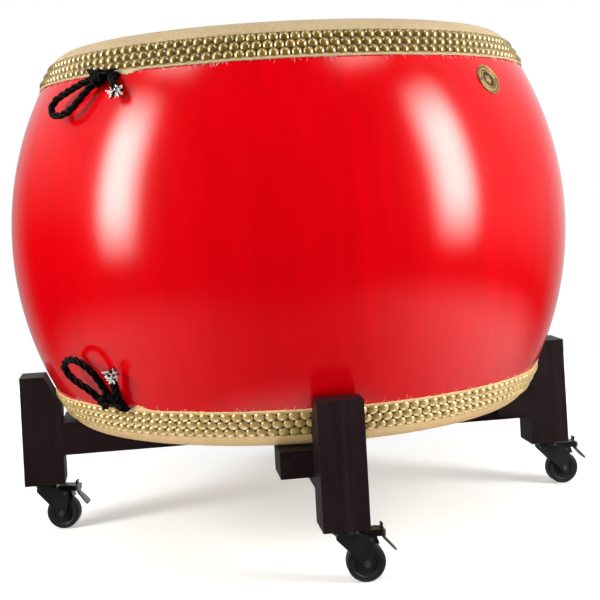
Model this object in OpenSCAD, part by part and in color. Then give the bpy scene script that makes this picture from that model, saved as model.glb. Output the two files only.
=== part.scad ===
// Large barrel drum on a cross stand with four swivel casters.
// Millimetres. +Z is up, the floor is z = 0 and the drum's axis is the Z axis.
// The first pair of rope handles faces -Y, and the posts stand at the four corners.

/* [Drum] */
// Height of the drum over both heads
drum_h = 860; // [800:5:900]
// Radius of the shell at its widest
belly_r = 658; // [645:1:665]
// Radius of the arc that the staves follow from head to head
stave_arc_r = 755; // [740:5:800]
// Thickness of the shell's wall
wall_t = 28; // [18:1:40]
// Thickness of the hide
hide_t = 3; // [2:0.5:4]
// Length of hide folded down over the shell, measured from the head's plane
hide_skirt = 82; // [75:1:95]
// Rounding where each head turns down over the rim
rim_round = 60; // [50:1:65]

/* [Nails] */
// Nails in each row
nails_per_row = 156; // [120:2:156]
// Height of the first row below the head's plane
nail_first = 35; // [33:1:38]
// Distance between rows, measured down the axis
nail_row_gap = 17; // [15:0.5:18]
// Diameter of a nail's domed head
nail_d = 21.8; // [18:0.2:22]
// Height of a nail's domed head
nail_h = 6; // [4:0.5:7]
// Diameter of a nail's shank
shank_d = 3; // [2:0.5:4]
// Length of a nail's shank below its head
shank_l = 16; // [12:1:20]

/* [Badge] */
// Diameter of the round plate
badge_d = 68; // [50:1:80]
// Thickness of the plate
badge_t = 2; // [1.5:0.5:3]
// Distance of the plate's centre below the head's plane
badge_drop = 134; // [125:1:145]
// Direction of the plate, counter-clockwise from +X
badge_dir = -5; // [-10:1:10]

/* [Rope handles] */
// Diameter of the rope
rope_d = 16; // [14:1:17]
// Direction of the first pair of handles, counter-clockwise from +X
handle_dir = -91; // [-95:1:-85]

/* [Stand] */
// Height of the surface that the drum rests on
beam_top = 252; // [240:1:260]
// Height of a beam's section
beam_h = 75; // [60:1:80]
// Width of the beams and posts
post_w = 92; // [80:1:96]
// Depth of a post, towards the drum
post_d = 93; // [88:1:100]
// Height of a post's top
post_top = 362; // [340:1:370]
// Height of a post's underside
post_foot = 110; // [110:1:112]
// Distance from the axis to a post's outer face
post_r = 658; // [655:1:670]
// Gap between the drum and the hollowed top of a post
post_gap = 12; // [8:1:14]
// Width of the side blocks
block_w = 66; // [50:1:70]
// Depth of the side blocks
block_d = 100; // [80:1:120]
// Height of the side blocks
block_h = 54; // [40:1:58]

/* [Casters] */
// Diameter of a wheel
wheel_d = 77; // [72:1:77]
// Width of a tyre
tyre_w = 30; // [26:1:32]
// Distance of the axle behind the swivel
trail = 40; // [38:1:41]
// Direction of the front right caster's wheel, counter-clockwise from +X
dir_front_right = 44; // [40:1:50]
// Direction of the back right caster's wheel
dir_back_right = 47; // [40:1:55]
// Direction of the back left caster's wheel
dir_back_left = 46; // [40:1:55]
// Direction of the front left caster's wheel
dir_front_left = 32; // [25:1:40]

/* [Output] */
// Sub-part to build

/* [Hidden] */
$fn = 96;
drum_z = beam_top + drum_h / 2;
half_h = drum_h / 2;
arc_x = belly_r - stave_arc_r;
hide_r = stave_arc_r + hide_t;
skirt_z = half_h - hide_skirt;
// The rim's rounding overshoots the head's plane and the stave arc by these amounts, so it crosses both
rim_over = 0.6;
rim_side = 0.4;
// Centre of the rim's rounding, and the height where it runs parallel to the stave arc
rim_cz = half_h - rim_round + rim_over;
rim_join = rim_cz / (1 - rim_round / hide_r);
rim_cx = arc_x + sqrt(hide_r * hide_r - rim_join * rim_join) + rim_side
  - sqrt(rim_round * rim_round - (rim_join - rim_cz) * (rim_join - rim_cz));
// The stand's top lies this far below the drum, so that the two flat faces don't share a plane
seat_gap = 0.05;
rest_z = beam_top - seat_gap;
lap = beam_h / 2;
post_cr = post_r - post_d / 2;
post_in = post_r - post_d;
axle_z = wheel_d / 2;
sides = ["front_right", "back_right", "back_left", "front_left"];
// Direction of each post's outer face, and of each wheel
side_dir = [-45, 45, 135, 225];
wheel_dir = [dir_front_right, dir_back_right, dir_back_left, dir_front_left];
red = [0.72, 0.02, 0.05];
cream = [0.9, 0.82, 0.64];
gold = [0.74, 0.6, 0.3];
walnut = [0.14, 0.09, 0.09];
black = [0.07, 0.07, 0.08];
steel = [0.5, 0.5, 0.52];
// Amount that nails and plates are pressed into what they are fixed to
press = 0.3;

// The badge's flat plate is let into the curved shell this far, so that its edge meets the lacquer
badge_sink = 0.9;
badge_nail_l = 10;
badge_nail_off = badge_d / 2 - 6;
groove = 0.8;
studs = 8;
stud_ring_r = 6;
stud_r = 1.8;

// Screws from a post into the end of its beam
screw_r = 4;
screw_bite = 60;
screw_off = 22;
screw_sunk = 12;

// Caster: plate, ball race and king pin
plate_w = 64;
plate_t = 2.5;
hole_off = 25;
wood_screw_r = 2.5;
wood_screw_l = 28;
cup_r = 21;
cup_h = 4;
race_gap = 0.6;
pin_r = 6;
pin_grip = 0.05;
run_fit = 0.05;

// Caster: fork, seen from the side. X is the distance behind the swivel, Z the height above the floor
crown_r = 24;
crown_z = 97;
crown_t = 4;
crown_back = 30;
fork_front = -18;
leg_t = 3;
leg_gap = 18.5;
leg_end_r = 10;
lug = 8;
fork_w = 2 * (leg_gap + leg_t);
pin_foot = crown_z - crown_t - 6;

// Caster: axle bolt, wheel and lever pin
axle_r = 4;
sleeve_r = 6;
bolt_end = 6;
nut_r = 6;
nut_h = 5;
hub_r = 26;
hub_w = 26;
lever_x = 50;
lever_z = 84;
lever_pin_r = 2.5;
pin_head_r = 4;
pin_head_h = 1.5;

// Caster: brake lever, with its outlines seen from the side as the fork's
housing_w = 34;
lever_w = 26;
boss_r = 5.5;
neck = [[44, 90], [44, 84], [50, 81.5], [56, 77], [64, 72], [67, 74], [62, 90]];
housing = [[32, 88.5], [80, 88.5], [80, 100], [78, 101], [32, 101]];
tab = [[71, 100], [75, 100], [76, 106], [77.5, 109], [75, 112.5], [72, 110], [72.5, 106]];
tab_w = 14;
pedal = [[74, 90], [80, 90], [80.5, 83], [102, 58], [99, 56], [76, 80.5]];
// Half of the pedal's outline seen from above
pedal_side = [[70, 8], [82, 9], [90, 14], [98, 14], [103, 8]];
ribs = 7;
rib_x = 34;
rib_step = 5;

// Rope routes: along the rim, out from the stave arc, and up from the drum's middle
route_upper = [
  [-10, -6, 340], [-12, 12, 339], [-34, 19, 333], [-61, 22, 324], [-90, 24, 313], [-114, 26, 302],
  [-123, 27, 286], [-110, 27, 271], [-84, 26, 267], [-57, 24, 274], [-37, 22, 292], [-21, 20, 311],
  [-5, 16, 328], [10, 11, 337], [14, -6, 340]];
route_lower = [
  [-46, -6, -340], [-46, 12, -337], [-49, 17, -322], [-62, 22, -305], [-82, 26, -291], [-103, 28, -275],
  [-110, 29, -256], [-84, 30, -240], [-52, 30, -241], [-28, 27, -256], [-16, 23, -279], [-14, 15, -308],
  [-15, 11, -332], [-16, -6, -340]];
tail_upper = [[34, -6, 340], [35, 10, 338], [43, 14, 330], [53, 16, 320], [62, 18, 309]];
tail_lower = [[4, -6, -340], [5, 11, -336], [14, 15, -316], [22, 19, -295], [29, 22, -274]];

// Radius of the stave arc at height z from the drum's middle, moved out by o
function arc_r(z, o) = arc_x + sqrt((stave_arc_r + o) * (stave_arc_r + o) - z * z);
// Angle of the stave arc's normal above the horizontal at height z
function arc_tilt(z, o) = asin(z / (stave_arc_r + o));
// A route point in space, for a handle in direction d
function on_drum(p, d) =
  let (r = arc_r(p[2], p[1]), a = d + p[0] / r * 180 / PI)
  [r * cos(a), r * sin(a), drum_z + p[2]];
function unit(v) = v / norm(v);
// Catmull-Rom spline through four points
function spline(a, b, c, d, t) =
  0.5 * ((2 * b) + (c - a) * t + (2 * a - 5 * b + 4 * c - d) * t * t + (3 * b - a - 3 * c + d) * t * t * t);
function route_at(r, i, t) =
  let (n = len(r) - 1)
  spline(r[max(i - 1, 0)], r[i], r[min(i + 1, n)], r[min(i + 2, n)], t);
function smooth_route(r, k) =
  concat([for (i = [0:len(r) - 2]) for (j = [0:k - 1]) route_at(r, i, j / k)], [r[len(r) - 1]]);
function path_dirs(p) =
  let (n = len(p) - 1)
  [for (i = [0:n]) unit(p[min(i + 1, n)] - p[max(i - 1, 0)])];
function carried(t, n) = unit(n - (n * t) * t);
function path_normals(t) =
  let (n0 = carried(t[0], [0.1, 0.2, 0.97]))
  [for (i = 0, n = n0; i < len(t); i = i + 1, n = i < len(t) ? carried(t[i], n) : n) n];

// A round tube along a path
module tube(p, r, k) {
  t = path_dirs(p);
  n = path_normals(t);
  m = len(p);
  pts = [for (i = [0:m - 1]) for (j = [0:k - 1])
    p[i] + r * (cos(360 * j / k) * n[i] + sin(360 * j / k) * cross(t[i], n[i]))];
  skin = [for (i = [0:m - 2]) for (j = [0:k - 1])
    [i * k + j, i * k + (j + 1) % k, (i + 1) * k + (j + 1) % k, (i + 1) * k + j]];
  ends = [[for (j = [0:k - 1]) j], [for (j = [0:k - 1]) m * k - 1 - j]];
  polyhedron(points = pts, faces = concat(
    [for (f = skin) [f[0], f[2], f[1]]], [for (f = skin) [f[0], f[3], f[2]]], ends), convexity = 6);
}

// Places children at direction a and height z on the hide, moved out by o, with +Z pointing out
module on_hide(a, z, o) {
  tilt = arc_tilt(z, hide_t);
  reach = hide_r + o;
  rotate([0, 0, a])
    translate([arc_x + reach * cos(tilt), 0, drum_z + reach * sin(tilt)])
      rotate([0, 90 - tilt, 0]) children();
}

// Drum
// Half of the drum's outline, with its surface moved in by o
module drum_outline(o) {
  join = rim_join * (hide_r - o) / hide_r;
  stave_outline(hide_t - o, join + 1);
  translate([0, o - half_h]) square([rim_cx, 2 * (half_h - o)]);
  for (side = [0, 1]) mirror([0, side]) intersection() {
    stave_outline(hide_t - o, half_h - o);
    translate([rim_cx, rim_cz]) circle(r = rim_round - o, $fn = 180);
    translate([0, join - 1]) square([belly_r, half_h]);
  }
}

// The stave arc moved out by o, up to height z above and below the middle
module stave_outline(o, z) {
  intersection() {
    translate([arc_x, 0]) circle(r = stave_arc_r + o, $fn = 360);
    translate([0, -z]) square([belly_r + o + 10, 2 * z]);
  }
}

module shell() {
  color(red) translate([0, 0, drum_z]) rotate_extrude($fn = 180)
    difference() {
      drum_outline(hide_t);
      stave_outline(-wall_t, half_h);
    }
}

// One hide, with its head at the top or at the bottom
module hide(up) {
  color(cream) translate([0, 0, drum_z]) mirror([0, 0, up ? 0 : 1]) rotate_extrude($fn = 180)
    difference() {
      drum_outline(0);
      drum_outline(hide_t);
      translate([-1, -half_h - 1]) square([belly_r + 20, half_h + 1 + skirt_z]);
    }
}

// One nail, with the underside of its head at z = 0
module nail() {
  ball = (nail_h * nail_h + nail_d * nail_d / 4) / (2 * nail_h);
  intersection() {
    translate([0, 0, nail_h - ball]) sphere(r = ball, $fn = 32);
    cylinder(r = nail_d, h = nail_h + 1, $fn = 32);
  }
  translate([0, 0, -shank_l]) cylinder(d = shank_d, h = shank_l + 1, $fn = 24);
}

// Row k of nails, counted from the upper or the lower head. Every second row is set half a nail round
module nail_row(up, k) {
  z = (up ? 1 : -1) * (half_h - nail_first - k * nail_row_gap);
  color(gold) for (i = [0:nails_per_row - 1])
    on_hide(360 * (i + (k % 2) / 2) / nails_per_row, z, -press) nail();
}

// The badge's place on the shell, with its axis pointing out
module badge_seat() {
  z = half_h - badge_drop;
  tilt = arc_tilt(z, 0);
  rotate([0, 0, badge_dir])
    translate([arc_x + stave_arc_r * cos(tilt), 0, drum_z + z])
      rotate([0, 90 - tilt, 0]) translate([0, 0, -badge_sink]) children();
}

module ring(r0, r1, h) {
  difference() {
    cylinder(r = r1, h = h);
    translate([0, 0, -1]) cylinder(r = r0, h = h + 2);
  }
}

// Round plate with two grooves, holes for its two nails and a ring of studs
module badge_plate() {
  color(gold) badge_seat() {
    difference() {
      cylinder(d = badge_d, h = badge_t);
      translate([0, 0, badge_t - groove]) ring(badge_d / 2 - 3, badge_d / 2 - 2, 1);
      translate([0, 0, badge_t - groove]) ring(badge_d / 2 - 13, badge_d / 2 - 11, 1);
      for (s = [-1, 1]) translate([0, s * badge_nail_off, -1])
        cylinder(d = shank_d + 0.2, h = badge_t + 2, $fn = 24);
    }
    for (i = [0:studs - 1]) rotate([0, 0, 360 / studs * i])
      translate([stud_ring_r, 0, badge_t - 0.1]) cylinder(r = stud_r, h = groove, $fn = 24);
  }
}

module badge_nails() {
  color(steel) badge_seat() for (s = [-1, 1]) translate([0, s * badge_nail_off, 0]) {
    translate([0, 0, -badge_nail_l]) cylinder(d = shank_d, h = badge_t + badge_nail_l + 1, $fn = 24);
    translate([0, 0, badge_t]) cylinder(d1 = 6, d2 = 3.6, h = 1.6, $fn = 32);
  }
}

// Rope along a route, for a handle in direction d. k is the number of steps to each stretch
module rope(route, d, k) {
  color(black) tube([for (p = smooth_route(route, k)) on_drum(p, d)], rope_d / 2, 12);
}

// Stand
// One of the two crossed beams, halved where they cross
module beam(a, upper) {
  color(walnut) rotate([0, 0, a]) difference() {
    translate([-post_in, -post_w / 2, rest_z - beam_h]) cube([2 * post_in, post_w, beam_h]);
    translate([-post_w / 2, -post_w, upper ? rest_z - beam_h - 1 : rest_z - lap])
      cube([post_w, 2 * post_w, lap + 1]);
  }
}

// Upright post, hollowed where the drum's belly passes it
module post(k) {
  color(walnut) difference() {
    rotate([0, 0, side_dir[k]]) translate([post_in, -post_w / 2, post_foot])
      cube([post_d, post_w, post_top - post_foot]);
    translate([0, 0, drum_z]) rotate_extrude($fn = 180) stave_outline(hide_t + post_gap, half_h + 20);
  }
}

// A low block beside the beam, on one side only
module block(k) {
  color(walnut) rotate([0, 0, side_dir[k]])
    translate([post_in - block_d, -post_w / 2 - block_w, rest_z - block_h])
      cube([block_d, block_w, block_h]);
}

// Two sunk screws that run through each post into the end of its beam
module post_screws() {
  color(steel) for (k = [0:3]) rotate([0, 0, side_dir[k]]) for (s = [-1, 1])
    translate([post_in - screw_bite, s * screw_off, rest_z - lap]) rotate([0, 90, 0])
      cylinder(r = screw_r, h = screw_bite + post_d - screw_sunk, $fn = 32);
}

// Casters
// The middle of a post, with local +X pointing outwards
module at_post(k) {
  rotate([0, 0, side_dir[k]]) translate([post_cr, 0, 0]) children();
}

// The swivel is the local Z axis, and the wheel trails towards local +X
module at_swivel(k) {
  at_post(k) rotate([0, 0, wheel_dir[k] - side_dir[k]]) children();
}

// The wheel's axis, with local +Z along it
module at_axle(k) {
  at_swivel(k) translate([trail, 0, axle_z]) rotate([90, 0, 0]) children();
}

// Mounting plate with the upper half of the ball race
module caster_plate(k) {
  z = post_foot - plate_t;
  color(steel) at_post(k) difference() {
    union() {
      translate([-plate_w / 2, -plate_w / 2, z]) cube([plate_w, plate_w, plate_t]);
      translate([0, 0, z - cup_h]) cylinder(r = cup_r, h = cup_h + 0.5);
    }
    for (x = [-1, 1]) for (y = [-1, 1]) translate([x * hole_off, y * hole_off, z - 1])
      cylinder(r = wood_screw_r + 0.1, h = plate_t + 2, $fn = 24);
    translate([0, 0, z - cup_h - 1]) cylinder(r = pin_r - pin_grip, h = cup_h + plate_t + 2);
  }
}

// King pin, pressed into the plate, with its nut below the fork's crown
module king_pin(k) {
  color(steel) at_post(k) translate([0, 0, pin_foot]) {
    cylinder(r = pin_r, h = post_foot - pin_foot);
    cylinder(r = pin_r + 3, h = 5, $fn = 6);
  }
}

module caster_screws(k) {
  z = post_foot - plate_t;
  color(steel) at_post(k) for (x = [-1, 1]) for (y = [-1, 1])
    translate([x * hole_off, y * hole_off, z]) {
      translate([0, 0, -2.4]) cylinder(d1 = 6, d2 = 9, h = 2.4, $fn = 32);
      translate([0, 0, -1]) cylinder(r = wood_screw_r, h = wood_screw_l, $fn = 24);
    }
}

// Side of the fork seen along the axle
module leg_outline() {
  difference() {
    union() {
      polygon([[fork_front, crown_z], [fork_front, crown_z - 8], [trail - leg_end_r, axle_z],
        [trail + leg_end_r, axle_z], [lever_x + lug, lever_z - lug / 2],
        [lever_x + lug, lever_z + lug / 2], [crown_back, crown_z]]);
      translate([trail, axle_z]) circle(r = leg_end_r);
    }
    translate([trail, axle_z]) circle(r = axle_r + run_fit);
    translate([lever_x, lever_z]) circle(r = lever_pin_r + run_fit);
  }
}

// Crown, the lower half of the ball race, and two legs
module fork(k) {
  race_h = post_foot - plate_t - cup_h - race_gap - crown_z;
  color(black) at_swivel(k) {
    difference() {
      union() {
        translate([0, 0, crown_z]) cylinder(r = crown_r, h = race_h);
        translate([fork_front, -fork_w / 2, crown_z - crown_t])
          cube([crown_back - fork_front, fork_w, crown_t]);
      }
      translate([0, 0, crown_z - crown_t - 1]) cylinder(r = pin_r + run_fit, h = crown_t + race_h + 2);
    }
    for (y = [-leg_gap, fork_w / 2]) translate([0, y, 0]) rotate([90, 0, 0])
      linear_extrude(height = leg_t) leg_outline();
  }
}

// The wheel's axle bolt with its sleeve, nuts and washer, and the lever's pin
module axle(k) {
  side = fork_w / 2;
  color(steel) at_axle(k) {
    translate([0, 0, -side - bolt_end]) cylinder(r = axle_r, h = 2 * (side + bolt_end));
    translate([0, 0, -leg_gap]) cylinder(r = sleeve_r, h = 2 * leg_gap);
    for (z = [side, -side - nut_h]) translate([0, 0, z]) cylinder(r = nut_r, h = nut_h, $fn = 6);
    translate([0, 0, side]) cylinder(r = nut_r + 1, h = 1);
  }
  color(steel) at_swivel(k) translate([lever_x, 0, lever_z]) rotate([90, 0, 0]) {
    translate([0, 0, -side - pin_head_h]) cylinder(r = lever_pin_r, h = 2 * (side + pin_head_h));
    for (z = [side, -side - pin_head_h]) translate([0, 0, z]) cylinder(r = pin_head_r, h = pin_head_h);
  }
}

module hub(k) {
  color(black) at_axle(k) difference() {
    translate([0, 0, -hub_w / 2]) cylinder(r = hub_r, h = hub_w);
    translate([0, 0, -hub_w]) cylinder(r = sleeve_r + run_fit, h = 2 * hub_w);
    for (s = [-1, 1]) translate([0, 0, s * hub_w / 2 - 3]) ring(hub_r / 2, hub_r - 4, 6);
  }
}

// Half of the tyre's section, with rounded shoulders. Radius is X and the distance from the middle is Y
function tyre_edge(s) = [[hub_r, s * (tyre_w / 2 - 2)], [hub_r + 2.5, s * tyre_w / 2],
  [axle_z - 4, s * tyre_w / 2], [axle_z - 1.2, s * (tyre_w / 2 - 1.2)], [axle_z, s * (tyre_w / 2 - 4)]];

module tyre(k) {
  lower = tyre_edge(-1);
  upper = tyre_edge(1);
  color(black) at_axle(k) rotate_extrude($fn = 96)
    polygon(concat(lower, [for (i = [4:-1:0]) upper[i]]));
}

// Narrow part of the brake lever: its boss, the neck and the shoe over the tyre
module lever_neck() {
  difference() {
    union() {
      translate([lever_x, lever_z]) circle(r = boss_r);
      polygon(neck);
    }
    translate([lever_x, lever_z]) circle(r = lever_pin_r + run_fit);
  }
}

// Wide part: the ribbed housing
module lever_housing() {
  polygon(housing);
  for (i = [0:ribs - 1]) translate([rib_x + rib_step * i, 100]) square([rib_step / 2, 2]);
}

// Places a side outline upright, with its thickness w centred on the lever's middle
module lever_part(w) {
  translate([0, w / 2, 0]) rotate([90, 0, 0]) linear_extrude(height = w) children();
}

// Brake lever: neck, housing, release tab that stands up, and leaf-shaped pedal that slants down
module brake(k) {
  color(steel) at_swivel(k) {
    lever_part(lever_w) lever_neck();
    lever_part(housing_w) lever_housing();
    lever_part(tab_w) polygon(tab);
    intersection() {
      lever_part(housing_w) polygon(pedal);
      for (s = [0, 1]) mirror([0, s, 0]) linear_extrude(height = crown_z)
        polygon(concat([[70, -1]], pedal_side, [[103, -1]]));
    }
  }
}

shell();
hide(true);  // top_head
hide(false);  // bottom_head
nail_row(true, 0);  // nails_top_1
nail_row(true, 1);  // nails_top_2
nail_row(true, 2);  // nails_top_3
nail_row(false, 0);  // nails_bottom_1
nail_row(false, 1);  // nails_bottom_2
nail_row(false, 2);  // nails_bottom_3
badge_plate();
badge_nails();
rope(route_upper, handle_dir, 4);  // rope_a_upper
rope(route_lower, handle_dir, 4);  // rope_a_lower
rope(route_upper, handle_dir + 180, 4);  // rope_b_upper
rope(route_lower, handle_dir + 180, 4);  // rope_b_lower
rope(tail_upper, handle_dir, 3);  // tail_a_upper
rope(tail_lower, handle_dir, 3);  // tail_a_lower
rope(tail_upper, handle_dir + 180, 3);  // tail_b_upper
rope(tail_lower, handle_dir + 180, 3);  // tail_b_lower
beam(45, true);  // beam_upper
beam(135, false);  // beam_lower
post_screws();
for (k = [0:3]) caster_screws(k);
for (k = [0:3]) {
  post(k);
  block(k);
  caster_plate(k);
  king_pin(k);
  fork(k);
  axle(k);
  hub(k);
  tyre(k);
  brake(k);
}
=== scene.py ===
"""Looks of a large barrel drum on a wheeled cross stand. Metres, +Z up, the drum's axis is Z."""

import math
import random

import bpy
from mathutils import Matrix, Vector, noise


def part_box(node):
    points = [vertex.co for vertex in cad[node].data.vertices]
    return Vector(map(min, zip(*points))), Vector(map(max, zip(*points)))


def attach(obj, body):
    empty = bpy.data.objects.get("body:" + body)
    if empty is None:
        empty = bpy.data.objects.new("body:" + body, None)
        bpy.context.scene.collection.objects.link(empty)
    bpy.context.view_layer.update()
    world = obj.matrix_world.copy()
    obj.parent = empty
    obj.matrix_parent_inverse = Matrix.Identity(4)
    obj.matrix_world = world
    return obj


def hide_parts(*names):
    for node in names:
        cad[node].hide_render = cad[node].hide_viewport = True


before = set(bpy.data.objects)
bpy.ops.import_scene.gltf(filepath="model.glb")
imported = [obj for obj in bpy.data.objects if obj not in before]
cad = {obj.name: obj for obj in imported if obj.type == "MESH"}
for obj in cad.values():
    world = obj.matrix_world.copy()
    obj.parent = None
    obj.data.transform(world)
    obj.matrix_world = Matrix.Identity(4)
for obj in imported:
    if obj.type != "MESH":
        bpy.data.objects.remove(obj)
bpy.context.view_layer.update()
scene = bpy.context.scene
scene.view_settings.view_transform = "Standard"
mm = 0.001

# ---------------------------------------------------------------- sizes shared with the CAD model
DRUM_H = 0.860
DRUM_Z = 0.252 + DRUM_H / 2
BELLY_R = 0.658
ARC_R = 0.755
ARC_X = BELLY_R - ARC_R
HIDE_T = 0.003
WALL_T = 0.028
RIM_ROUND = 0.060
RIM_DROP = 0.0594
NAIL_BAND = (DRUM_H / 2 - 0.0775, DRUM_H / 2 - 0.0265)
SKIRT_Z = DRUM_H / 2 - 0.082
ROPE_D = 0.016
HANDLE_DIR = -91
BADGE_DIR = -5
BADGE_Z = DRUM_H / 2 - 0.134
BADGE_R = 0.034
BADGE_SINK = 0.0009
BADGE_T = 0.002
CORNERS = ("front_right", "back_right", "back_left", "front_left")


def arc_r(z, out=0.0):
    """Radius of the stave arc at height z from the drum's middle, moved out by out."""
    return ARC_X + math.sqrt((ARC_R + out) ** 2 - z * z)


def on_drum(along, out, z, direction):
    """A point on the drum: along the rim, out from the stave arc, and up from the middle."""
    r = arc_r(z, out)
    a = math.radians(direction) + along / r
    return Vector((r * math.cos(a), r * math.sin(a), DRUM_Z + z))


# ---------------------------------------------------------------- camera
CAMERA_TURN = 38.1
CAMERA_BACK = 3.030
CAMERA_RISE = 0.093
CAMERA_YAW = -0.0105
CAMERA_ROLL = 0.0552
camera_data = bpy.data.cameras.new("camera")
camera_data.lens = 74.7
camera_data.sensor_width = 36.0
camera_data.shift_y = -0.19
camera_data.clip_end = 60
camera = bpy.data.objects.new("camera", camera_data)
scene.collection.objects.link(camera)
camera.matrix_world = (
    Matrix.Rotation(math.radians(CAMERA_TURN), 4, "Z")
    @ Matrix.Translation((0, -CAMERA_BACK, DRUM_Z + CAMERA_RISE))
    @ Matrix.Rotation(CAMERA_YAW, 4, "Z")
    @ Matrix.Rotation(CAMERA_ROLL, 4, "Y")
    @ Matrix.Rotation(math.pi / 2, 4, "X")
)
scene.camera = camera


# ---------------------------------------------------------------- mesh helpers
def make_object(name, verts, faces, uvs=None):
    """A new smooth-shaded object, with one UV a vertex if given."""
    mesh = bpy.data.meshes.new(name)
    mesh.from_pydata([tuple(v) for v in verts], [], faces)
    mesh.validate()
    mesh.update()
    mesh.polygons.foreach_set("use_smooth", [True] * len(mesh.polygons))
    if uvs:
        layer = mesh.uv_layers.new(name="UVMap")
        for loop in mesh.loops:
            layer.data[loop.index].uv = uvs[loop.vertex_index]
    obj = bpy.data.objects.new(name, mesh)
    scene.collection.objects.link(obj)
    return obj


class Builder:
    """Collects rings and tubes into one mesh."""

    def __init__(self):
        self.verts, self.faces, self.uvs = [], [], []

    def tube(self, points, radii, sides):
        """A closed round tube through points, with a radius at each."""
        frames = path_frames(points)
        start = len(self.verts)
        length = 0.0
        for i, (p, (n, b)) in enumerate(zip(points, frames)):
            if i:
                length += (p - points[i - 1]).length
            for j in range(sides):
                a = 2 * math.pi * j / sides
                self.verts.append(p + radii[i] * (math.cos(a) * n + math.sin(a) * b))
                self.uvs.append((length, abs(2 * j / sides - 1)))
        for i in range(len(points) - 1):
            for j in range(sides):
                k = (j + 1) % sides
                a, c = start + i * sides, start + (i + 1) * sides
                self.faces.append((a + j, a + k, c + k, c + j))
        self.faces.append(tuple(start + sides - 1 - j for j in range(sides)))
        self.faces.append(tuple(start + (len(points) - 1) * sides + j for j in range(sides)))

    def make(self, name):
        return make_object(name, self.verts, self.faces, uvs=self.uvs)


def path_frames(points):
    """A normal and a binormal at each point, carried along without twist."""
    last = len(points) - 1
    frames = []
    n = None
    for i in range(len(points)):
        t = (points[min(i + 1, last)] - points[max(i - 1, 0)]).normalized()
        if n is None:
            n = Vector((0.1, 0.2, 0.97))
        n = (n - n.dot(t) * t).normalized()
        frames.append((n, t.cross(n)))
    return frames


POINT_SPACING = 0.0022


def spline(route, steps):
    """Catmull-Rom points through the route, steps to each stretch."""
    last = len(route) - 1
    found = []
    for i in range(last):
        a, b = Vector(route[max(i - 1, 0)]), Vector(route[i])
        c, d = Vector(route[i + 1]), Vector(route[min(i + 2, last)])
        for j in range(steps):
            t = j / steps
            found.append(
                0.5 * (2 * b + (c - a) * t + (2 * a - 5 * b + 4 * c - d) * t**2
                       + (3 * b - a - 3 * c + d) * t**3)
            )
    found.append(Vector(route[last]))
    return found


def even_points(points):
    """The same path with points at an even spacing, and its length."""
    total = sum((b - a).length for a, b in zip(points, points[1:]))
    count = max(2, round(total / POINT_SPACING))
    found = [points[0].copy()]
    walked, i = 0.0, 0
    for k in range(1, count):
        want = total * k / count
        while walked + (points[i + 1] - points[i]).length < want:
            walked += (points[i + 1] - points[i]).length
            i += 1
        t = (want - walked) / (points[i + 1] - points[i]).length
        found.append(points[i].lerp(points[i + 1], t))
    found.append(points[-1].copy())
    return found, total


# ---------------------------------------------------------------- material helpers
class Nodes:
    """A new material and short ways to add nodes to it."""

    def __init__(self, name):
        self.material = bpy.data.materials.new(name)
        self.material.use_nodes = True
        self.tree = self.material.node_tree
        self.shader = self.tree.nodes["Principled BSDF"]

    def add(self, kind, **values):
        node = self.tree.nodes.new(kind)
        for key, value in values.items():
            if key in node.inputs.keys():
                node.inputs[key].default_value = value
            else:
                setattr(node, key, value)
        return node

    def link(self, a, b):
        self.tree.links.new(a, b)

    def set(self, **values):
        for key, value in values.items():
            self.shader.inputs[key.replace("_", " ")].default_value = value

    def coords(self, scale=(1, 1, 1), kind="Object"):
        mapping = self.add("ShaderNodeMapping")
        mapping.inputs["Scale"].default_value = scale
        self.link(self.add("ShaderNodeTexCoord").outputs[kind], mapping.inputs["Vector"])
        return mapping.outputs["Vector"]

    def noise(self, vector, scale, detail=4.0, rough=0.55):
        node = self.add("ShaderNodeTexNoise", Scale=scale, Detail=detail, Roughness=rough)
        self.link(vector, node.inputs["Vector"])
        return node.outputs["Fac"]

    def ramp(self, value, stops):
        node = self.add("ShaderNodeValToRGB")
        elements = node.color_ramp.elements
        while len(elements) < len(stops):
            elements.new(0.5)
        for element, (place, colour) in zip(elements, stops):
            element.position = place
            element.color = (*colour, 1)
        self.link(value, node.inputs["Fac"])
        return node.outputs["Color"]

    def spread(self, value, low, high):
        """Maps 0..1 to low..high."""
        node = self.add("ShaderNodeMapRange")
        node.inputs["To Min"].default_value = low
        node.inputs["To Max"].default_value = high
        self.link(value, node.inputs["Value"])
        return node.outputs["Result"]

    def mix(self, fac, a, b, how="MIX"):
        node = self.add("ShaderNodeMix", data_type="RGBA", blend_type=how)
        for value, place in ((fac, 0), (a, 6), (b, 7)):
            if isinstance(value, (int, float, tuple)):
                node.inputs[place].default_value = value
            else:
                self.link(value, node.inputs[place])
        return node.outputs[2]

    def bump(self, height, strength, distance, normal=None):
        node = self.add("ShaderNodeBump", Strength=strength, Distance=distance)
        self.link(height, node.inputs["Height"])
        if normal is not None:
            self.link(normal, node.inputs["Normal"])
        return node.outputs["Normal"]

    def finish(self, colour=None, roughness=None, normal=None):
        for value, key in ((colour, "Base Color"), (roughness, "Roughness"), (normal, "Normal")):
            if value is not None:
                self.link(value, self.shader.inputs[key])
        return self.material


def paint(obj, material):
    """Gives an object one material, and returns the object."""
    obj.data.materials.clear()
    obj.data.materials.append(material)
    return obj


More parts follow.
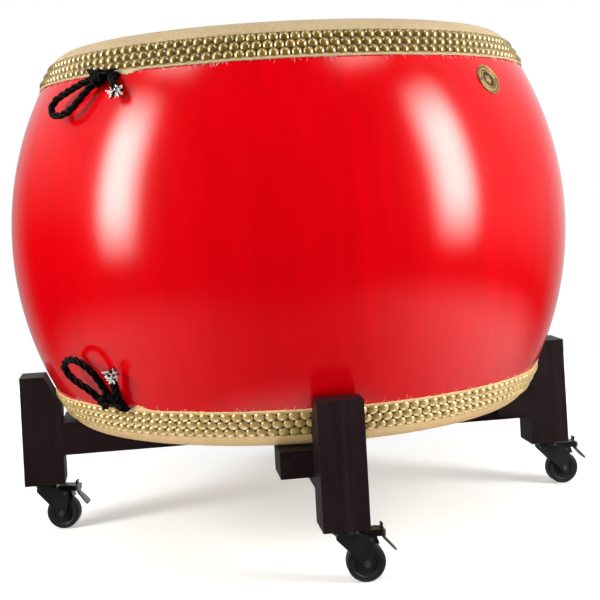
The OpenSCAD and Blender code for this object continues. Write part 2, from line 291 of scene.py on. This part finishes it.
# ---------------------------------------------------------------- materials
def lacquer_material():
    m = Nodes("lacquer")
    m.set(Specular_IOR_Level=0.0, Coat_Weight=1.0, Coat_Roughness=0.15, Coat_IOR=1.5)
    stave = m.noise(m.coords((9, 9, 0.35)), 3.0, 3.0)
    cloud = m.noise(m.coords(), 2.2, 3.0)
    colour = m.ramp(stave, [(0.3, (0.56, 0.0004, 0.0032)), (0.7, (0.64, 0.0006, 0.0042))])
    shade = m.ramp(cloud, [(0.3, (0.93, 0.9, 0.9)), (0.75, (1, 1, 1))])
    fine = m.noise(m.coords((60, 60, 4)), 5.0, 5.0)
    normal = m.bump(stave, 0.08, 0.004)
    normal = m.bump(fine, 0.05, 0.0006, normal)
    return m.finish(m.mix(1.0, colour, shade, "MULTIPLY"), m.spread(fine, 0.36, 0.48), normal)


def hide_material(name, light, dark):
    m = Nodes(name)
    m.set(Specular_IOR_Level=0.35, Subsurface_Weight=0.08, Subsurface_Scale=0.004)
    m.shader.inputs["Subsurface Radius"].default_value = (1.0, 0.6, 0.3)
    broad = m.noise(m.coords(), 5.0, 5.0, 0.6)
    fine = m.noise(m.coords(), 140.0, 4.0, 0.65)
    colour = m.ramp(broad, [(0.3, dark), (0.68, light)])
    speckle = m.ramp(fine, [(0.3, (0.86, 0.82, 0.76)), (0.6, (1, 1, 1))])
    colour = m.mix(1.0, colour, speckle, "MULTIPLY")
    # Painted shade between the nails: across the nail band the hide's colour is darkened to near black,
    # fading out at the band's edges
    gap_shade, unshaded = (0.03, 0.018, 0.008), (1, 1, 1)
    parts = m.add("ShaderNodeSeparateXYZ")
    m.link(m.coords(), parts.inputs[0])
    height = m.add("ShaderNodeMath", operation="SUBTRACT")
    height.inputs[1].default_value = DRUM_Z
    m.link(parts.outputs["Z"], height.inputs[0])
    level = m.add("ShaderNodeMath", operation="ABSOLUTE")
    m.link(height.outputs[0], level.inputs[0])
    band = m.add("ShaderNodeMapRange")
    for key, value in (("From Min", NAIL_BAND[0]), ("From Max", NAIL_BAND[1])):
        band.inputs[key].default_value = value
    m.link(level.outputs[0], band.inputs["Value"])
    grime_and_shade = m.ramp(band.outputs["Result"], [(0.0, unshaded), (0.05, gap_shade), (0.95, gap_shade), (1.0, unshaded)])
    colour = m.mix(1.0, colour, grime_and_shade, "MULTIPLY")
    return m.finish(colour, m.spread(fine, 0.45, 0.62), m.bump(fine, 0.25, 0.0012))


def nail_material(name, light, dark):
    m = Nodes(name)
    m.set(Metallic=0.5, Coat_Weight=0.9, Coat_Roughness=0.2, Coat_IOR=1.9)
    patch = m.noise(m.coords(), 34.0, 2.0)
    # Fine grime on the brass: spots of duller colour and a fine bump
    grime_and_shade = m.noise(m.coords(), 260.0, 3.0)
    colour = m.ramp(patch, [(0.34, dark), (0.62, light)])
    worn = m.ramp(grime_and_shade, [(0.35, (0.82, 0.78, 0.7)), (0.6, (1, 1, 1))])
    normal = m.bump(grime_and_shade, 0.12, 0.0006)
    return m.finish(m.mix(1.0, colour, worn, "MULTIPLY"), m.spread(patch, 0.3, 0.4), normal)


def badge_material(name, light, dark):
    m = Nodes(name)
    m.set(Metallic=0.65)
    cloud = m.noise(m.coords(), 40.0, 3.0)
    colour = m.ramp(cloud, [(0.3, dark), (0.7, light)])
    return m.finish(colour, m.spread(cloud, 0.28, 0.5), m.bump(cloud, 0.2, 0.0008))


def rope_material():
    m = Nodes("rope_black")
    m.set(Specular_IOR_Level=0.09)
    fibre = m.noise(m.coords((260, 2.6, 1), "UV"), 3.0, 3.0)
    colour = m.ramp(fibre, [(0.3, (0.0004, 0.0004, 0.0005)), (0.72, (0.002, 0.002, 0.0022))])
    return m.finish(colour, m.spread(fibre, 0.42, 0.65), m.bump(fibre, 0.5, 0.0008))


def fringe_material():
    m = Nodes("fringe_white")
    m.set(Sheen_Weight=0.3, Roughness=0.6)
    fibre = m.noise(m.coords(), 300.0, 2.0)
    return m.finish(m.ramp(fibre, [(0.3, (0.7, 0.7, 0.7)), (0.7, (0.93, 0.93, 0.92))]))


def wood_material(name, turn, stretch):
    """Very dark brown wood. Its grain is turned about Z and drawn out by stretch."""
    m = Nodes(name)
    m.set(Specular_IOR_Level=0.14, Coat_Weight=0.03, Coat_Roughness=0.35)
    turned = m.add("ShaderNodeVectorRotate", rotation_type="Z_AXIS")
    turned.inputs["Angle"].default_value = math.radians(-turn)
    m.link(m.coords(), turned.inputs["Vector"])
    mapping = m.add("ShaderNodeMapping")
    mapping.inputs["Scale"].default_value = stretch
    m.link(turned.outputs[0], mapping.inputs["Vector"])
    grain = m.noise(mapping.outputs["Vector"], 2.0, 6.0, 0.65)
    cloud = m.noise(m.coords(), 7.0, 3.0)
    colour = m.ramp(grain, [(0.3, (0.0085, 0.0046, 0.0056)), (0.7, (0.0185, 0.0104, 0.0122))])
    shade = m.ramp(cloud, [(0.3, (0.8, 0.8, 0.8)), (0.7, (1.1, 1.06, 1.04))])
    rough = m.spread(grain, 0.42, 0.6)
    return m.finish(m.mix(1.0, colour, shade, "MULTIPLY"), rough, m.bump(grain, 0.3, 0.0006))


def metal_material(name, light, dark, metallic=1.0, coat=0.0):
    m = Nodes(name)
    m.set(Metallic=metallic, Coat_Weight=coat, Coat_Roughness=0.2)
    cloud = m.noise(m.coords(), 45.0, 4.0)
    fine = m.noise(m.coords(), 420.0, 2.0)
    colour = m.ramp(cloud, [(0.3, dark), (0.7, light)])
    return m.finish(colour, m.spread(cloud, 0.3, 0.45), m.bump(fine, 0.12, 0.0003))


def lever_material(name, pin):
    """Black near the swivel's pin, and grey on the pedal that sticks out from it."""
    m = Nodes(name)
    m.set(Metallic=0.35, Coat_Weight=0.6, Coat_Roughness=0.18)
    low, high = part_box(pin)
    away = m.add("ShaderNodeVectorMath", operation="DISTANCE")
    away.inputs[1].default_value = ((low[0] + high[0]) / 2, (low[1] + high[1]) / 2, 0)
    flat = m.add("ShaderNodeVectorMath", operation="MULTIPLY")
    flat.inputs[1].default_value = (1, 1, 0)
    m.link(m.coords(), flat.inputs[0])
    m.link(flat.outputs[0], away.inputs[0])
    reach = m.add("ShaderNodeMapRange")
    reach.inputs["From Min"].default_value = 0.076
    reach.inputs["From Max"].default_value = 0.080
    m.link(away.outputs["Value"], reach.inputs["Value"])
    cloud = m.noise(m.coords(), 60.0, 4.0)
    black = m.ramp(cloud, [(0.3, (0.004, 0.003, 0.003)), (0.7, (0.010, 0.008, 0.007))])
    grey = m.ramp(cloud, [(0.3, (0.06, 0.052, 0.05)), (0.7, (0.17, 0.15, 0.145))])
    mix = m.add("ShaderNodeMix", data_type="RGBA")
    m.link(reach.outputs["Result"], mix.inputs["Factor"])
    m.link(black, mix.inputs["A"])
    m.link(grey, mix.inputs["B"])
    return m.finish(mix.outputs["Result"], m.spread(cloud, 0.25, 0.45), m.bump(cloud, 0.1, 0.0003))


def rubber_material(name, light, dark):
    m = Nodes(name)
    m.set(Specular_IOR_Level=0.35)
    cloud = m.noise(m.coords(), 70.0, 4.0)
    fine = m.noise(m.coords(), 700.0, 2.0)
    colour = m.ramp(cloud, [(0.3, dark), (0.7, light)])
    return m.finish(colour, m.spread(cloud, 0.38, 0.58), m.bump(fine, 0.2, 0.0002))


LACQUER = lacquer_material()
# Painted light: both heads are one hide, but the lower one is painted much lighter than the upper, to make
# up for the shade under the drum
HIDE_TOP = hide_material("hide_upper", (0.52, 0.41, 0.26), (0.44, 0.34, 0.20))
HIDE_BOTTOM = hide_material("hide_lower", (0.86, 0.60, 0.30), (0.73, 0.49, 0.22))
# Painted reflection: the nails are one brass, but the lower row is painted pale gold, much lighter than the
# upper row, in place of the pale floor that the lower domes reflect
NAILS_TOP = nail_material("nail_brass_upper", (0.36, 0.238, 0.038), (0.24, 0.15, 0.018))
NAILS_BOTTOM = nail_material("nail_brass_lower", (0.92, 0.67, 0.28), (0.74, 0.50, 0.17))
BADGE = badge_material("badge_brass", (0.42, 0.29, 0.11), (0.28, 0.18, 0.065))
BADGE_DARK = badge_material("badge_brass_recess", (0.075, 0.045, 0.015), (0.04, 0.024, 0.008))
ROPE = rope_material()
FRINGE = fringe_material()
WOOD_POST = wood_material("dark_wood_upright", 0, (42, 42, 1.6))
WOOD_BEAM = {turn: wood_material(f"dark_wood_{turn}", turn, (1.6, 42, 42)) for turn in (45, -45)}
FORK = metal_material("fork_black", (0.017, 0.0155, 0.0165), (0.009, 0.0085, 0.009), metallic=0.1, coat=1.0)
LEVER = {corner: lever_material("lever_" + corner, "king_pin_" + corner) for corner in CORNERS}
AXLE = metal_material("axle_steel", (0.13, 0.11, 0.105), (0.05, 0.043, 0.04), metallic=0.5)
ZINC = metal_material("zinc", (0.5, 0.5, 0.5), (0.3, 0.3, 0.31))
DARK_STEEL = metal_material("dark_steel", (0.16, 0.16, 0.165), (0.07, 0.07, 0.075))
TYRE = rubber_material("tyre_black", (0.017, 0.0165, 0.0175), (0.010, 0.0098, 0.0104))
HUB = rubber_material("hub_black", (0.016, 0.0156, 0.0164), (0.009, 0.0088, 0.0093))


# ---------------------------------------------------------------- CAD nodes: finishes
FINISHES = {
    "shell": LACQUER,
    "top_head": HIDE_TOP,
    "bottom_head": HIDE_BOTTOM,
    "nails_top": NAILS_TOP,
    "nails_bottom": NAILS_BOTTOM,
    "badge_plate": BADGE,
    "badge_nails": DARK_STEEL,
    "beam_upper": WOOD_BEAM[45],
    "beam_lower": WOOD_BEAM[-45],
    "block": WOOD_BEAM[45],
    "block_front_right": WOOD_BEAM[-45],
    "block_back_left": WOOD_BEAM[-45],
    "post": WOOD_POST,
    "post_screws": ZINC,
    "plate": ZINC,
    "king_pin": ZINC,
    "fork": FORK,
    "axle": AXLE,
    "hub": HUB,
    "tyre": TYRE,
    "caster_screws": ZINC,
    "rope": ROPE,
    "tail": ROPE,
}
for corner in CORNERS:
    FINISHES["brake_" + corner] = LEVER[corner]
# Each node takes the finish of the longest name that it starts with
for name, obj in cad.items():
    known = [key for key in FINISHES if name.startswith(key)]
    paint(obj, FINISHES[max(known, key=len)])


def bevel(name, width):
    """Rounds the sharp edges of a CAD node."""
    mod = cad[name].modifiers.new("edges", "BEVEL")
    mod.width = width
    mod.segments = 2
    mod.limit_method = "ANGLE"
    mod.angle_limit = math.radians(40)
    mod.harden_normals = False


for name in cad:
    if name.startswith(("beam", "post_f", "post_b", "block")):
        bevel(name, 0.0022)


# ---------------------------------------------------------------- the shell's lacquered surface
def lacquer_shell():
    """The shell with finer facets than the CAD node, so that its outline stays smooth and bright."""
    rim_r, around = RIM_ROUND - HIDE_T, 540
    stave_steps, rim_steps, inner_steps = 48, 10, 14
    rim_z = DRUM_H / 2 - RIM_DROP
    hide_r = ARC_R + HIDE_T
    join = rim_z / (1 - RIM_ROUND / hide_r)
    skirt_x = ARC_X + math.sqrt(hide_r**2 - join**2) + 0.0004
    rim_x = skirt_x - math.sqrt(RIM_ROUND**2 - (join - rim_z) ** 2)
    join *= ARC_R / hide_r
    top = DRUM_H / 2 - HIDE_T
    first, last = (math.asin((z - rim_z) / rim_r) for z in (join, top))
    half = [(arc_r(join * i / stave_steps), join * i / stave_steps) for i in range(stave_steps + 1)]
    for i in range(1, rim_steps + 1):
        a = first + (last - first) * i / rim_steps
        half.append((rim_x + rim_r * math.cos(a), rim_z + rim_r * math.sin(a)))
    for i in range(inner_steps + 1):
        z = top * (1 - i / inner_steps)
        half.append((ARC_X + math.sqrt((ARC_R - WALL_T) ** 2 - z * z), z))
    loop = half + [(r, -z) for r, z in half[-2:0:-1]]
    verts, faces = [], []
    for j in range(around):
        a = 2 * math.pi * j / around
        verts += [(r * math.cos(a), r * math.sin(a), DRUM_Z + z) for r, z in loop]
    count = len(loop)
    for j in range(around):
        k = (j + 1) % around
        for i in range(count):
            n = (i + 1) % count
            faces.append((j * count + i, k * count + i, k * count + n, j * count + n))
    shell = paint(make_object("shell_lacquer", verts, faces), LACQUER)
    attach(shell, "drum")
    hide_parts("shell")


lacquer_shell()

# ---------------------------------------------------------------- rope handles
# Routes in millimetres: along the rim, out from the stave arc, up from the drum's middle
ROUTE_UPPER = [
    (-10, -6, 340), (-12, 12, 339), (-34, 19, 333), (-61, 22, 324), (-90, 24, 313), (-114, 26, 302),
    (-123, 27, 286), (-110, 27, 271), (-84, 26, 267), (-57, 24, 274), (-37, 22, 292), (-21, 20, 311),
    (-5, 16, 328), (10, 11, 337), (14, -6, 340),
]
ROUTE_LOWER = [
    (-46, -6, -340), (-46, 12, -337), (-49, 17, -322), (-62, 22, -305), (-82, 26, -291), (-103, 28, -275),
    (-110, 29, -256), (-84, 30, -240), (-52, 30, -241), (-28, 27, -256), (-16, 23, -279), (-14, 15, -308),
    (-15, 11, -332), (-16, -6, -340),
]
TAIL_UPPER = [(34, -6, 340), (35, 10, 338), (43, 14, 330), (53, 16, 320), (62, 18, 309)]
TAIL_LOWER = [(4, -6, -340), (5, 11, -336), (14, 15, -316), (22, 19, -295), (29, 22, -274)]
# The rope's lay is the length in which a strand goes once round
LAY = 0.057
STRANDS = 3
STRAND_SIDES = 10
STRAND_R = ROPE_D / 4.31
HELIX_R = ROPE_D / 2 - STRAND_R


def route_points(route, steps, direction):
    """A route in millimetres as a smooth path on the drum."""
    return [on_drum(p.x * mm, p.y * mm, p.z * mm, direction) for p in spline(route, steps)]


def twisted(builder, points, scale=lambda t: 1.0):
    """Three strands laid round a path. scale gives the rope's thickness along it."""
    frames = path_frames(points)
    length = [0.0]
    for a, b in zip(points, points[1:]):
        length.append(length[-1] + (b - a).length)
    for s in range(STRANDS):
        line, radii = [], []
        for i, (p, (n, b)) in enumerate(zip(points, frames)):
            k = scale(length[i] / length[-1])
            a = 2 * math.pi * (length[i] / LAY + s / STRANDS)
            line.append(p + k * HELIX_R * (math.cos(a) * n + math.sin(a) * b))
            radii.append(k * STRAND_R)
        builder.tube(line, radii, STRAND_SIDES)


# The wrap of the same rope round both legs of a handle, where they enter the drum
WRAP_CENTRE = {"upper": (0, 14, 338), "lower": (-28, 14, -331)}
WRAP_AXIS = {"upper": (-0.85, 0.1, -0.5), "lower": (-0.45, 0.1, 0.9)}
WRAP_RADIUS, WRAP_TURNS, WRAP_DRIFT, WRAP_START = 12, 1.4, 16, 0.4

# The pointed end of one strand beside the knot
POINTED = {
    "upper": [(2, 10, 341), (14, 16, 344), (28, 17, 349), (43, 14, 354)],
    "lower": [(-4, 8, -338), (8, 13, -344), (20, 12, -346), (30, 8, -343)],
}

# The blunt stub of a second strand beside the knot
STUB = {
    "upper": [(6, 12, 342), (-10, 17, 349), (-24, 19, 354), (-37, 17, 357)],
    "lower": [(2, 12, -340), (12, 16, -334), (10, 21, -322), (4, 24, -312)],
}


def wrap_route(centre, axis):
    """A wrap's route, which goes round axis at centre."""
    centre, axis, outward = Vector(centre), Vector(axis).normalized(), Vector((0, 1, 0))
    side = axis.cross(outward).normalized()
    count = round(WRAP_TURNS * 10)
    found = []
    for i in range(count + 1):
        a = WRAP_START + 2 * math.pi * WRAP_TURNS * i / count
        along = axis * WRAP_DRIFT * (i / count - 0.5)
        around = math.cos(a) * side * 1.15 + math.sin(a) * outward * 0.8
        found.append(centre + along + WRAP_RADIUS * around)
    return found


TUFT_REACH = 0.0165
TUFT_R = 0.0015
HAIR_STEPS = (0.0, 0.35, 0.7, 1.0)


def gauss_vector(rng):
    return Vector((rng.gauss(0, 1), rng.gauss(0, 1), rng.gauss(0, 1)))


def tufts(builder, centre, out, count, rng):
    """Short curled tufts that fill a ball at a rope's cut end."""
    for _ in range(count):
        way = gauss_vector(rng).normalized()
        start = centre + out * TUFT_REACH * 0.35 + way * TUFT_REACH * rng.uniform(0.1, 0.5)
        along = (way * 0.7 + gauss_vector(rng) * 0.45).normalized()
        bend = gauss_vector(rng) * 0.5
        length = TUFT_REACH * rng.uniform(0.35, 0.65)
        line = [start + along * length * t + bend * length * t * t * 0.6 for t in HAIR_STEPS]
        builder.tube(line, [TUFT_R, TUFT_R * 1.15, TUFT_R, TUFT_R * 0.7], 5)


rng = random.Random(11)
for pair, direction in (("a", HANDLE_DIR), ("b", HANDLE_DIR + 180)):
    for level, route in (("upper", ROUTE_UPPER), ("lower", ROUTE_LOWER)):
        line, total = even_points(route_points(route, 12, direction))
        built = Builder()
        twisted(built, line)
        rope = paint(built.make(f"handle_{pair}_{level}"), ROPE)
        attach(rope, "drum")
        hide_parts(f"rope_{pair}_{level}")
    for level, route in (("upper", TAIL_UPPER), ("lower", TAIL_LOWER)):
        line, _ = even_points(route_points(route, 12, direction))
        built = Builder()
        twisted(built, line, scale=lambda t: 1.45 - 0.4 * t)
        knot = wrap_route(WRAP_CENTRE[level], WRAP_AXIS[level])
        twisted(built, even_points(route_points(knot, 4, direction))[0])
        point = even_points(route_points(POINTED[level], 8, direction))[0]
        twisted(built, point, scale=lambda t: 1.05 - 0.9 * t * t)
        stub = even_points(route_points(STUB[level], 8, direction))[0]
        twisted(built, stub, scale=lambda t: 1.1 - 0.35 * t**3)
        tail = paint(built.make(f"rope_end_{pair}_{level}"), ROPE)
        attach(tail, "drum")
        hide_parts(f"tail_{pair}_{level}")
        way = (line[-1] - line[-4]).normalized()
        for colour, finish, count in (("black", ROPE, 60), ("white", FRINGE, 85)):
            built = Builder()
            tufts(built, line[-1], way, count, rng)
            fringe = paint(built.make(f"fringe_{colour}_{pair}_{level}"), finish)
            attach(fringe, "drum")


# ---------------------------------------------------------------- ragged edges of the hides
def hide_edge(name, up, finish, seed, flaps):
    """The thin, torn edge of a hide's skirt, with a tongue beside each handle."""
    around, rows = 1800, 6
    verts, faces = [], []
    offset = Vector((seed * 3.1, 0, 0))
    for i in range(around):
        a = 2 * math.pi * i / around
        place = Vector((math.cos(a), math.sin(a), 0))
        broad = noise.noise(place * 7 + offset)
        fine = noise.noise(place * 60 + offset)
        sharp = noise.noise(place * 190 + offset)
        depth = 0.0012 + 0.0012 * max(-0.6, broad) + 0.0010 * fine + 0.0008 * sharp
        for centre, width, reach in flaps:
            away = math.degrees((a - math.radians(centre) + math.pi) % (2 * math.pi) - math.pi)
            depth += reach * math.exp(-((away / width) ** 2)) * (1 + 0.25 * fine)
        depth = max(0.0008, depth)
        for k in range(rows):
            t = k / (rows - 1)
            if k < 2:
                z, out = SKIRT_Z + (0.004, 0.0006)[k], HIDE_T + 0.00025
            else:
                u = (k - 1) / (rows - 2)
                z = SKIRT_Z - depth * u
                out = (HIDE_T + 0.0003) * (1 - u) ** 1.5 + 0.0007
            r = arc_r(z, out)
            verts.append((r * math.cos(a), r * math.sin(a), DRUM_Z + up * z))
    for i in range(around):
        j = (i + 1) % around
        for k in range(rows - 1):
            quad = (i * rows + k, i * rows + k + 1, j * rows + k + 1, j * rows + k)
            faces.append(quad if up > 0 else quad[::-1])
    edge = paint(make_object(name, verts, faces), finish)
    skin = edge.modifiers.new("skin", "SOLIDIFY")
    skin.thickness = 0.0006
    skin.offset = 0
    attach(edge, "drum")


def fibres(name, up, seed, count):
    """Loose hairs that lie over the lacquer at a hide's edge."""
    rng = random.Random(seed)
    built = Builder()
    for _ in range(count):
        a = rng.uniform(0, 360)
        length = rng.uniform(0.004, 0.013)
        lean = rng.gauss(0, 0.9)
        curl = rng.gauss(0, 0.5)
        line = []
        for t in HAIR_STEPS:
            along = length * t * math.sin(lean + curl * t)
            drop = length * t * math.cos(lean + curl * t)
            z = SKIRT_Z - 0.0005 - drop
            point = on_drum(along, 0.0012 + 0.0012 * (1 - t), z, a)
            if up < 0:
                point.z = 2 * DRUM_Z - point.z
            line.append(point)
        built.tube(line, [0.00022, 0.0002, 0.00016, 0.0001], 3)
    hairs = paint(built.make(name), FRINGE)
    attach(hairs, "drum")


UPPER_FLAPS = [(HANDLE_DIR + 6.5, 2.2, 0.007), (HANDLE_DIR + 186.5, 2.2, 0.007)]
LOWER_FLAPS = [(HANDLE_DIR + 4.5, 1.8, 0.009), (HANDLE_DIR + 184.5, 1.8, 0.009)]
hide_edge("hide_edge_top", 1, HIDE_TOP, 3, UPPER_FLAPS)
hide_edge("hide_edge_bottom", -1, HIDE_BOTTOM, 5, LOWER_FLAPS)
fibres("hide_hairs_top", 1, 7, 420)
fibres("hide_hairs_bottom", -1, 9, 300)


# ---------------------------------------------------------------- badge
BADGE_FACE = BADGE_T - 0.0006


def badge_height(r, a):
    """Height of the badge's face: a rim, a beaded band, a ring and a small flower."""
    def step(low, high, soft=0.0005):
        return max(0.0, min(1.0, (r - low) / soft, (high - r) / soft))

    beads = 0.5 + 0.5 * math.cos(36 * a)
    petal = 0.0066 + 0.0040 * abs(math.cos(2.5 * a))
    height = 0.0012 * step(0.0312, 0.0350) + (0.0005 + 0.0002 * beads) * step(0.0222, 0.0292)
    height += 0.0010 * step(0.0178, 0.0204) + 0.0009 * step(-1, petal, 0.0012)
    return height + 0.0004 * step(-1, 0.0034, 0.0010)


def badge_relief():
    tilt = math.asin(BADGE_Z / ARC_R)
    seat = (
        Matrix.Rotation(math.radians(BADGE_DIR), 4, "Z")
        @ Matrix.Translation((ARC_X + ARC_R * math.cos(tilt), 0, DRUM_Z + BADGE_Z))
        @ Matrix.Rotation(math.pi / 2 - tilt, 4, "Y")
        @ Matrix.Translation((0, 0, -BADGE_SINK))
    )
    rings, around = 68, 192
    verts = [seat @ Vector((0, 0, BADGE_FACE + badge_height(0, 0)))]
    faces = []
    for i in range(1, rings + 1):
        r = BADGE_R * i / rings
        for j in range(around):
            a = 2 * math.pi * j / around
            h = BADGE_FACE + badge_height(r, a)
            verts.append(seat @ Vector((r * math.cos(a), r * math.sin(a), h)))
    for j in range(around):
        a = 2 * math.pi * j / around
        verts.append(seat @ Vector((BADGE_R * math.cos(a), BADGE_R * math.sin(a), 0)))
    for j in range(around):
        k = (j + 1) % around
        faces.append((0, 1 + j, 1 + k))
        for i in range(rings):
            a, b = 1 + i * around, 1 + (i + 1) * around
            faces.append((a + j, b + j, b + k, a + k))
    relief = paint(make_object("badge_relief", verts, faces), BADGE)
    relief.data.materials.append(BADGE_DARK)
    for face in relief.data.polygons:
        spot = seat.inverted() @ face.center
        if BADGE_T - 0.0007 < spot.z < BADGE_T - 0.0003:  # the flat ground between the raised parts
            face.material_index = 1
    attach(relief, "drum")
    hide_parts("badge_plate")


badge_relief()

# ---------------------------------------------------------------- studio
STAGE_TURN = Matrix.Rotation(math.radians(45), 3, "Z")
FLOOR_R = 2.6
bearings = [math.radians(a) for a in range(0, 360, 3)]
rim = [(FLOOR_R * math.cos(a), FLOOR_R * math.sin(a), 0) for a in bearings]
floor = make_object("floor", rim, [tuple(range(len(rim)))])
floor_finish = Nodes("floor_white")
floor_finish.set(Roughness=0.9, Specular_IOR_Level=0.1)
# Painted light: the floor glows by itself, weakly (0.3) within 0.9 m of the middle and up to full white
# (1.0) by 2.3 m out. This lightens the shadows on it and fades it into the white world
floor_finish.shader.inputs["Emission Color"].default_value = (1, 1, 1, 1)
grain = floor_finish.noise(floor_finish.coords(), 30.0, 3.0)
distance = floor_finish.add("ShaderNodeVectorMath", operation="LENGTH")
floor_finish.link(floor_finish.coords(), distance.inputs[0])
glow = floor_finish.add("ShaderNodeMapRange")
for key, value in (("From Min", 0.9), ("From Max", 2.3), ("To Min", 0.3), ("To Max", 1.0)):
    glow.inputs[key].default_value = value
floor_finish.link(distance.outputs["Value"], glow.inputs["Value"])
floor_finish.link(glow.outputs["Result"], floor_finish.shader.inputs["Emission Strength"])
paint(floor, floor_finish.finish(
    floor_finish.ramp(grain, [(0.3, (0.84, 0.88, 0.93)), (0.7, (0.87, 0.91, 0.96))])))
# The floor only shows itself and the shadows on it; what it would reflect comes from the world
floor.visible_glossy = False
floor.visible_diffuse = False
floor.visible_shadow = False


def soft_panel(name, place, aim, width, height, strength):
    """A glowing panel with soft edges, which the camera doesn't see."""
    place, aim = STAGE_TURN @ Vector(place), Vector(aim)
    turn = (place - aim).to_track_quat("Z", "Y")
    corners = [(-1, -1), (1, -1), (1, 1), (-1, 1)]
    verts = [place + turn @ Vector((x * width / 2, y * height / 2, 0)) for x, y in corners]
    uvs = [((x + 1) / 2, (y + 1) / 2) for x, y in corners]
    panel = make_object(name, verts, [(3, 2, 1, 0)], uvs=uvs)
    m = Nodes(name + "_glow")
    m.set(Roughness=1.0, Specular_IOR_Level=0.0)
    m.shader.inputs["Base Color"].default_value = (0, 0, 0, 1)
    m.shader.inputs["Emission Color"].default_value = (1, 0.96, 0.9, 1)
    parts = m.add("ShaderNodeSeparateXYZ")
    m.link(m.coords(kind="UV"), parts.inputs[0])
    glow = strength
    for axis, edge in (("X", 0.42), ("Y", 0.38)):
        rise = m.add("ShaderNodeMapRange", interpolation_type="SMOOTHSTEP")
        rise.inputs["From Max"].default_value = edge
        away = m.add("ShaderNodeMath", operation="PINGPONG")
        away.inputs[1].default_value = 0.5
        m.link(parts.outputs[axis], away.inputs[0])
        m.link(away.outputs[0], rise.inputs["Value"])
        times = m.add("ShaderNodeMath", operation="MULTIPLY")
        m.link(rise.outputs["Result"], times.inputs[0])
        if isinstance(glow, (int, float)):
            times.inputs[1].default_value = glow
        else:
            m.link(glow, times.inputs[1])
        glow = times.outputs[0]
    m.link(glow, m.shader.inputs["Emission Strength"])
    paint(panel, m.material)
    panel.visible_camera = False


def soft_lamp(name, place, aim, width, height, power):
    """An area lamp that leaves no mark of its own in the lacquer."""
    data = bpy.data.lights.new(name, "AREA")
    data.shape = "RECTANGLE"
    data.size, data.size_y, data.energy = width, height, power
    data.cycles.use_multiple_importance_sampling = False
    lamp = bpy.data.objects.new(name, data)
    scene.collection.objects.link(lamp)
    place = STAGE_TURN @ Vector(place)
    lamp.location = place
    lamp.rotation_euler = (place - Vector(aim)).to_track_quat("Z", "Y").to_euler()
    lamp.visible_glossy = False
    lamp.visible_camera = False


soft_lamp("front_fill", (-0.3, -2.6, 0.2), (0, 0, 0.45), 2.8, 0.8, 33)
soft_panel("softbox_left", (-2.64, -0.97, 1.55), (0, 0, 0.75), 1.25, 2.9, 20)
soft_panel("softbox_right", (2.31, -1.62, 1.50), (0, 0, 0.75), 1.35, 2.9, 20)
soft_panel("overhead_left", (-1.43, -0.64, 3.0), (-0.3, 0, 0.9), 1.3, 1.3, 8)
soft_panel("overhead_right", (0.85, -1.2, 3.05), (0.2, 0, 0.9), 1.3, 1.3, 8)

# The world is plain white where it is seen. What it lights and what shines in the lacquer is a soft
# glow above and behind, a dim one at the sides, and a pale floor that is darkest towards the camera
world = bpy.data.worlds.new("studio")
world.use_nodes = True
scene.world = world
tree = world.node_tree
background = tree.nodes["Background"]
direction = tree.nodes.new("ShaderNodeTexCoord")
axes = tree.nodes.new("ShaderNodeSeparateXYZ")
turned = tree.nodes.new("ShaderNodeVectorRotate")
turned.rotation_type = "Z_AXIS"
turned.inputs["Angle"].default_value = math.radians(-CAMERA_TURN)
tree.links.new(direction.outputs["Generated"], turned.inputs["Vector"])
tree.links.new(turned.outputs["Vector"], axes.inputs["Vector"])


def sky_part(axis, low, high):
    """Rises from 0 to 1 as the direction's axis goes from low to high, either way round."""
    shade = tree.nodes.new("ShaderNodeMapRange")
    shade.interpolation_type = "SMOOTHSTEP"
    shade.inputs["From Min"].default_value = min(low, high)
    shade.inputs["From Max"].default_value = max(low, high)
    tree.links.new(axes.outputs[axis], shade.inputs["Value"])
    return shade.outputs["Result"] if low < high else sky_math("SUBTRACT", 1.0, shade.outputs["Result"])


def sky_math(operation, *values):
    """Two or more values joined by one operation."""
    total = values[0]
    for value in values[1:]:
        node = tree.nodes.new("ShaderNodeMath")
        node.operation = operation
        for entry, place in ((total, 0), (value, 1)):
            if isinstance(entry, float):
                node.inputs[place].default_value = entry
            else:
                tree.links.new(entry, node.inputs[place])
        total = node.outputs[0]
    return total


aside = sky_math("POWER", sky_math("ABSOLUTE", axes.outputs["X"], 0.0), 3.0)
rightward = sky_math("ADD", sky_part("X", -0.9, 0.9), 0.8)
beside = sky_part("Y", -0.32, 0.0)
glow = sky_math(
    "ADD",
    sky_math("MULTIPLY", sky_part("Z", 0.1, 0.6), sky_part("Y", 0.0, 0.6), 0.5),
    sky_math("MULTIPLY", beside, sky_part("X", -0.1, 0.1), sky_part("Z", -0.3, 0.05), 0.4),
    sky_math("MULTIPLY", beside, sky_part("X", 0.1, -0.1), sky_part("Z", -0.05, 0.3), 0.27),
    sky_math("MULTIPLY", sky_part("Z", -0.26, -0.48), aside, rightward),
    sky_math("MULTIPLY", sky_part("Z", -0.3, -0.6), 0.1),
    sky_math("MULTIPLY", sky_part("Z", -0.8, -0.97), 1.6),
    sky_math("MULTIPLY", sky_part("Y", 0.6, 0.95), 0.4))
seen = tree.nodes.new("ShaderNodeLightPath")
strength = sky_math("MAXIMUM", glow, seen.outputs["Is Camera Ray"])
background.inputs["Color"].default_value = (1, 1, 1, 1)
tree.links.new(strength, background.inputs["Strength"])
